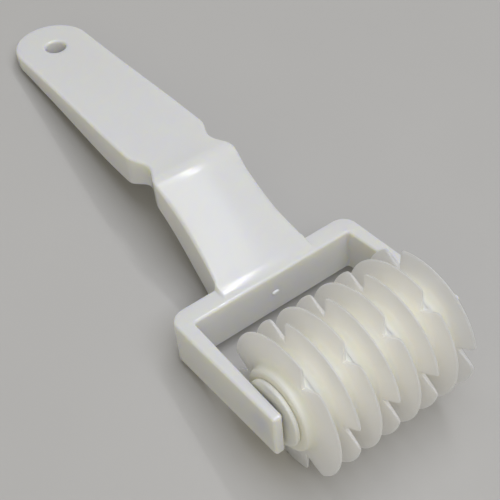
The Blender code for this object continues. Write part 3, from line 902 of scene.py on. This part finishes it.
def socket_drills():
    """Two short round bars with eased ends, one for each arm."""
    drill = bmesh.new()
    start = FORK_SIDE - arm_width(0) - DRILL_OVERHANG
    end = FORK_SIDE - SOCKET_WALL
    outline_loop(
        drill,
        [
            (start, 0, 0, 0), (end, 0, 0, 0),
            (end, SOCKET_RADIUS, SOCKET_EDGE, SOCKET_EDGE_STEPS), (start, SOCKET_RADIUS, 0, 0),
        ],
    )
    for edge in [e for e in drill.edges if all(abs(v.co.y) < TINY for v in e.verts)]:
        drill.edges.remove(edge)
    spun(drill, SOCKET_STEPS)
    bmesh.ops.translate(drill, vec=(0, 0, -FORK_BOTTOM), verts=drill.verts)
    mirrored(drill)
    bmesh.ops.recalc_face_normals(drill, faces=drill.faces)
    return drill


def with_sockets(slab):
    """The slab with the axle's blind bearing holes cut in its arms."""
    blank = as_object(slab, "handle_blank")
    cutter = as_object(socket_drills(), "socket_drills")
    modifier = blank.modifiers.new("sockets", "BOOLEAN")
    modifier.operation = "DIFFERENCE"
    modifier.solver = "EXACT"
    modifier.object = cutter
    bpy.context.view_layer.update()
    graph = bpy.context.evaluated_depsgraph_get()
    made = bpy.data.meshes.new_from_object(blank.evaluated_get(graph))
    bm = bmesh.new()
    bm.from_mesh(made)
    for scrap in (blank, cutter):
        bpy.data.objects.remove(scrap, do_unlink=True)
    return bm


class LATTICE_OT_handle(Operator):
    """Build the handle: fork, cranked neck and grip, one moulding"""

    bl_idname = "lattice.handle"
    bl_label = "Handle"

    def execute(self, context):
        settings = context.scene.lattice_handle
        bm = handle_half(settings)
        mirrored(bm)
        bmesh.ops.remove_doubles(bm, verts=bm.verts, dist=TINY)
        bmesh.ops.recalc_face_normals(bm, faces=bm.faces)
        bm = with_sockets(bm)
        set_heights(bm)
        piece("handle", bm, handle_plastic(settings), "handle", "handle_plastic", "handle_frame")
        return {"FINISHED"}


class LATTICE_OT_gate_mark(Operator):
    """Add the small oval nub on the bar where the moulding was filled"""

    bl_idname = "lattice.gate_mark"
    bl_label = "Gate mark"

    def execute(self, context):
        settings = context.scene.lattice_handle
        radius = settings.gate / 2
        bm = bmesh.new()
        bmesh.ops.create_circle(bm, cap_ends=True, segments=GATE_STEPS, radius=radius)
        made = bmesh.ops.extrude_face_region(bm, geom=bm.faces[:])
        lifted = [v for v in made["geom"] if isinstance(v, bmesh.types.BMVert)]
        bmesh.ops.translate(bm, vec=(0, 0, GATE_HEIGHT + GATE_SINK), verts=lifted)
        bmesh.ops.recalc_face_normals(bm, faces=bm.faces)
        rim = [e for e in bm.edges if all(v in lifted for v in e.verts)]
        edge_bevel(bm, rim, GATE_HEIGHT, HANDLE_EDGE_STEPS)
        turn = Matrix.Rotation(math.radians(90), 4, "X")
        place = Matrix.Translation((0, BAR_FRONT + GATE_SINK, GATE_LIFT))
        oval = Matrix.Diagonal((1, 1, GATE_SHARE, 1))
        bmesh.ops.transform(bm, matrix=place @ oval @ turn, verts=bm.verts)
        piece("gate_mark", bm, gate_glint_plastic(settings), "handle", "handle_plastic")
        return {"FINISHED"}


# Roller.

def rim_radius(angle, settings):
    """Distance from the axle to the blade's outline, at this angle from a notch."""
    slope = math.atan2(NOTCH_WIDTH / 2, WHEEL_RADIUS - NOTCH_ROOT_RADIUS)
    corner = settings.blade_corner
    ring = WHEEL_RADIUS - corner
    foot = NOTCH_ROOT_RADIUS * math.sin(slope)
    along = slope - math.asin((foot - corner) / ring)
    if angle >= along:
        return WHEEL_RADIUS
    wall = foot / math.sin(slope - angle) if angle < slope else WHEEL_RADIUS
    touch = Vector((ring * math.cos(along), ring * math.sin(along)))
    touch += corner * Vector((math.sin(slope), -math.cos(slope)))
    if angle <= math.atan2(touch.y, touch.x):
        return wall
    off = ring * math.sin(along - angle)
    return ring * math.cos(along - angle) + math.sqrt(corner**2 - off**2)


FLANK_SLOPE = (BLADE_ROOT - BLADE_RIM) / 2 / (WHEEL_RADIUS - BLADE_ROOT_RADIUS)
LEAST_FLANK = 3 * MM


def half_blade(radius):
    """Half the blade's thickness at this radius."""
    return BLADE_RIM / 2 + (WHEEL_RADIUS - radius) * FLANK_SLOPE


def wheel_corners(settings, is_first, is_last):
    """The corners of the wheel's section: along the axle, then out from it."""
    inner = (WHEEL_PITCH / 2 - HUB_SEAM, settings.hub_edge, HUB_EDGE_STEPS, settings.fillet)
    outer = (
        (WHEEL_PITCH - WHEEL_GAP) / 2, settings.end_hub_edge, END_HUB_EDGE_STEPS,
        settings.end_fillet,
    )
    left, left_edge, left_steps, left_fillet = outer if is_first else inner
    right, right_edge, right_steps, right_fillet = outer if is_last else inner
    bore = BORE_ACROSS_FLATS / 2
    root = half_blade(HUB_RADIUS)
    rim = half_blade(WHEEL_RADIUS)
    return [
        (-left, bore, 0, 0),
        (right, bore, 0, 0),
        (right, HUB_RADIUS, right_edge, right_steps),
        (root, HUB_RADIUS, right_fillet, FILLET_STEPS),
        (rim, WHEEL_RADIUS, settings.rim_edge, RIM_EDGE_STEPS),
        (-rim, WHEEL_RADIUS, settings.rim_edge, RIM_EDGE_STEPS),
        (-root, HUB_RADIUS, left_fillet, FILLET_STEPS),
        (-left, HUB_RADIUS, left_edge, left_steps),
    ]


def crowded(angle):
    """Moves the steps of the spin closer together near the notches."""
    return angle - NOTCH_CROWDING * math.sin(BLADES_PER_WHEEL * angle) / BLADES_PER_WHEEL


def notched(bm, settings, offset):
    """Draws the blade in to the notches' outline, and the bore to its six sides.

    The first notch lies at the offset, and the steps of the spin crowd towards the
    notches. A collar reaches out to no blade, so its outside stays round.
    """
    step = 2 * math.pi / BLADES_PER_WHEEL
    rim_start = WHEEL_RADIUS - settings.rim_edge
    for vert in bm.verts:
        radius = math.hypot(vert.co.y, vert.co.z)
        angle = crowded(math.atan2(vert.co.z, vert.co.y))
        if radius < BORE_ACROSS_FLATS / 2 + TINY:
            # The bore keeps its flats where the axle's are, whatever the notches' turn.
            sixth = (angle + offset + math.pi / 6) % (math.pi / 3) - math.pi / 6
            radius = BORE_ACROSS_FLATS / 2 / math.cos(sixth)
        elif radius > BLADE_ROOT_RADIUS:
            from_notch = abs((angle + step / 2) % step - step / 2)
            rim = rim_radius(from_notch, settings)
            moved = rim - (WHEEL_RADIUS - radius)
            if radius < rim_start:
                share = (radius - BLADE_ROOT_RADIUS) / (rim_start - BLADE_ROOT_RADIUS)
                run = rim - settings.rim_edge - BLADE_ROOT_RADIUS
                moved = BLADE_ROOT_RADIUS + share * run
            thicker = half_blade(moved) - half_blade(radius)
            vert.co.x += math.copysign(thicker, vert.co.x) if abs(vert.co.x) > TINY else 0
            radius = moved
        vert.co.y = radius * math.cos(angle + offset)
        vert.co.z = radius * math.sin(angle + offset)


def wheel_mesh(settings, index):
    """One wheel: its section spun about the axle, then notched and keyed."""
    is_first = index == 0
    is_last = index == WHEEL_COUNT - 1
    bm = bmesh.new()
    outline_loop(bm, wheel_corners(settings, is_first, is_last))
    flanks = [
        e for e in bm.edges
        if max(v.co.y for v in e.verts) > HUB_RADIUS + LEAST_FLANK
        and e.calc_length() > LEAST_FLANK
    ]
    bmesh.ops.subdivide_edges(bm, edges=flanks, cuts=FLANK_CUTS)
    spun(bm, settings.steps)
    notched(bm, settings, (index % 2) * math.pi / BLADES_PER_WHEEL)
    middle = (index - (WHEEL_COUNT - 1) / 2) * WHEEL_PITCH - ROLLER_SHIFT
    bmesh.ops.translate(bm, vec=(middle, 0, 0), verts=bm.verts)
    bmesh.ops.recalc_face_normals(bm, faces=bm.faces)
    return bm


class LATTICE_OT_wheels(Operator):
    """Build the eight notched cutting wheels"""

    bl_idname = "lattice.wheels"
    bl_label = "Cutting wheels"

    def execute(self, context):
        settings = context.scene.lattice_roller
        material = wheel_material(settings)
        for index in range(WHEEL_COUNT):
            name = f"wheel_{index + 1}"
            bm = wheel_mesh(settings, index)
            piece(name, bm, material, "roller", "wheel_plastic", f"cutter_{name}")
        return {"FINISHED"}


class LATTICE_OT_collars(Operator):
    """Build the two keyed collars beside the arms"""

    bl_idname = "lattice.collars"
    bl_label = "End collars"

    def execute(self, context):
        settings = context.scene.lattice_roller
        material = wheel_material(settings)
        half = COLLAR_WIDTH / 2
        bore = BORE_ACROSS_FLATS / 2
        edge = settings.collar_edge
        for side, name in ((-1, "left"), (1, "right")):
            bm = bmesh.new()
            outline_loop(
                bm,
                [
                    (-half, bore, 0, 0), (half, bore, 0, 0),
                    (half, COLLAR_RADIUS, edge, COLLAR_EDGE_STEPS),
                    (-half, COLLAR_RADIUS, edge, COLLAR_EDGE_STEPS),
                ],
            )
            spun(bm, settings.steps // 2)
            notched(bm, settings, 0)
            middle = side * (COLLAR_OUTER - half) - ROLLER_SHIFT
            bmesh.ops.translate(bm, vec=(middle, 0, 0), verts=bm.verts)
            bmesh.ops.recalc_face_normals(bm, faces=bm.faces)
            piece(
                f"collar_{name}", bm, material, "roller", "wheel_plastic", f"end_collar_{name}"
            )
        return {"FINISHED"}


class LATTICE_OT_axle(Operator):
    """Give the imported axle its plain, matt plastic"""

    bl_idname = "lattice.axle"
    bl_label = "Axle"

    def execute(self, context):
        axle = frame["nodes"]["roller_axle"]
        axle.data.materials.clear()
        axle.data.materials.append(axle_plastic())
        return {"FINISHED"}


# Stage.

def area_lamp(name, power, place, size, colour):
    """A lamp aimed at the tool, with its second side running along Y."""
    lamp = bpy.data.lights.new(name, "AREA")
    lamp.shape = "RECTANGLE"
    lamp.size, lamp.size_y = size
    lamp.energy = power
    lamp.color = colour
    obj = bpy.data.objects.new(name, lamp)
    obj.location = place
    back = Vector(place).normalized()
    side = Vector((0, 1, 0)).cross(back).normalized()
    obj.rotation_euler = Matrix((side, back.cross(side), back)).transposed().to_euler()
    bpy.context.scene.collection.objects.link(obj)


class LATTICE_OT_stage(Operator):
    """Set up the floor, the lamps, the surroundings and the camera"""

    bl_idname = "lattice.stage"
    bl_label = "Stage"

    def execute(self, context):
        settings = context.scene.lattice_stage
        bm = bmesh.new()
        bmesh.ops.create_grid(bm, x_segments=2, y_segments=2, size=FLOOR_HALF_SIZE)
        mesh = bpy.data.meshes.new("floor")
        bm.to_mesh(mesh)
        bm.free()
        mesh.materials.append(floor_surface(settings.floor_colour))
        floor = bpy.data.objects.new("floor", mesh)
        floor.location.z = -FLOOR_DROP
        context.scene.collection.objects.link(floor)
        area_lamp("key", settings.key_power, *KEY_LAMP)
        area_lamp("strip", settings.strip_power, *STRIP_LAMP)
        area_lamp("fill", settings.fill_power, *FILL_LAMP)
        world = bpy.data.worlds.new("surroundings")
        world.use_nodes = True
        background = world.node_tree.nodes["Background"]
        background.inputs["Color"].default_value = SKY_COLOUR
        background.inputs["Strength"].default_value = settings.sky
        context.scene.world = world
        camera = bpy.data.cameras.new("camera")
        camera.lens = settings.lens
        camera.sensor_width = SENSOR_WIDTH
        camera.clip_start = 0.01
        camera.clip_end = 20
        obj = bpy.data.objects.new("camera", camera)
        turn = Euler([math.radians(angle) for angle in CAMERA_ANGLES]).to_matrix().to_4x4()
        obj.matrix_world = TOOL @ Matrix.Translation(CAMERA_PLACE) @ turn
        context.scene.collection.objects.link(obj)
        context.scene.camera = obj
        context.scene.view_settings.view_transform = "Standard"
        return {"FINISHED"}


STEPS = (
    LATTICE_OT_stage, LATTICE_OT_handle, LATTICE_OT_gate_mark, LATTICE_OT_wheels,
    LATTICE_OT_collars, LATTICE_OT_axle,
)


class LATTICE_PT_panel(Panel):
    """Lists the pieces and the sizes and colours that can be changed"""

    bl_idname = "LATTICE_PT_panel"
    bl_label = "Lattice roller"
    bl_space_type = "VIEW_3D"
    bl_region_type = "UI"
    bl_category = "Lattice roller"

    def draw(self, context):
        for name in ("lattice_handle", "lattice_roller", "lattice_stage"):
            box = self.layout.box()
            group = getattr(context.scene, name)
            for key in group.__annotations__:
                box.prop(group, key)
        for step in STEPS:
            self.layout.operator(step.bl_idname)


GROUPS = (
    ("lattice_handle", HandleSettings), ("lattice_roller", RollerSettings),
    ("lattice_stage", StageSettings),
)


def register():
    """Registers the settings, the operators and the panel."""
    for name, group in GROUPS:
        bpy.utils.register_class(group)
        setattr(bpy.types.Scene, name, PointerProperty(type=group))
    for step in STEPS + (LATTICE_PT_panel,):
        bpy.utils.register_class(step)


def unregister():
    """Takes away what register added, last first."""
    for step in reversed(STEPS + (LATTICE_PT_panel,)):
        bpy.utils.unregister_class(step)
    for name, group in reversed(GROUPS):
        delattr(bpy.types.Scene, name)
        bpy.utils.unregister_class(group)


def main():
    """Builds the scene."""
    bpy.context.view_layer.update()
    register()
    bpy.ops.lattice.stage()
    bpy.ops.lattice.handle()
    bpy.ops.lattice.gate_mark()
    bpy.ops.lattice.wheels()
    bpy.ops.lattice.collars()
    bpy.ops.lattice.axle()


if __name__ == "__main__":
    main()
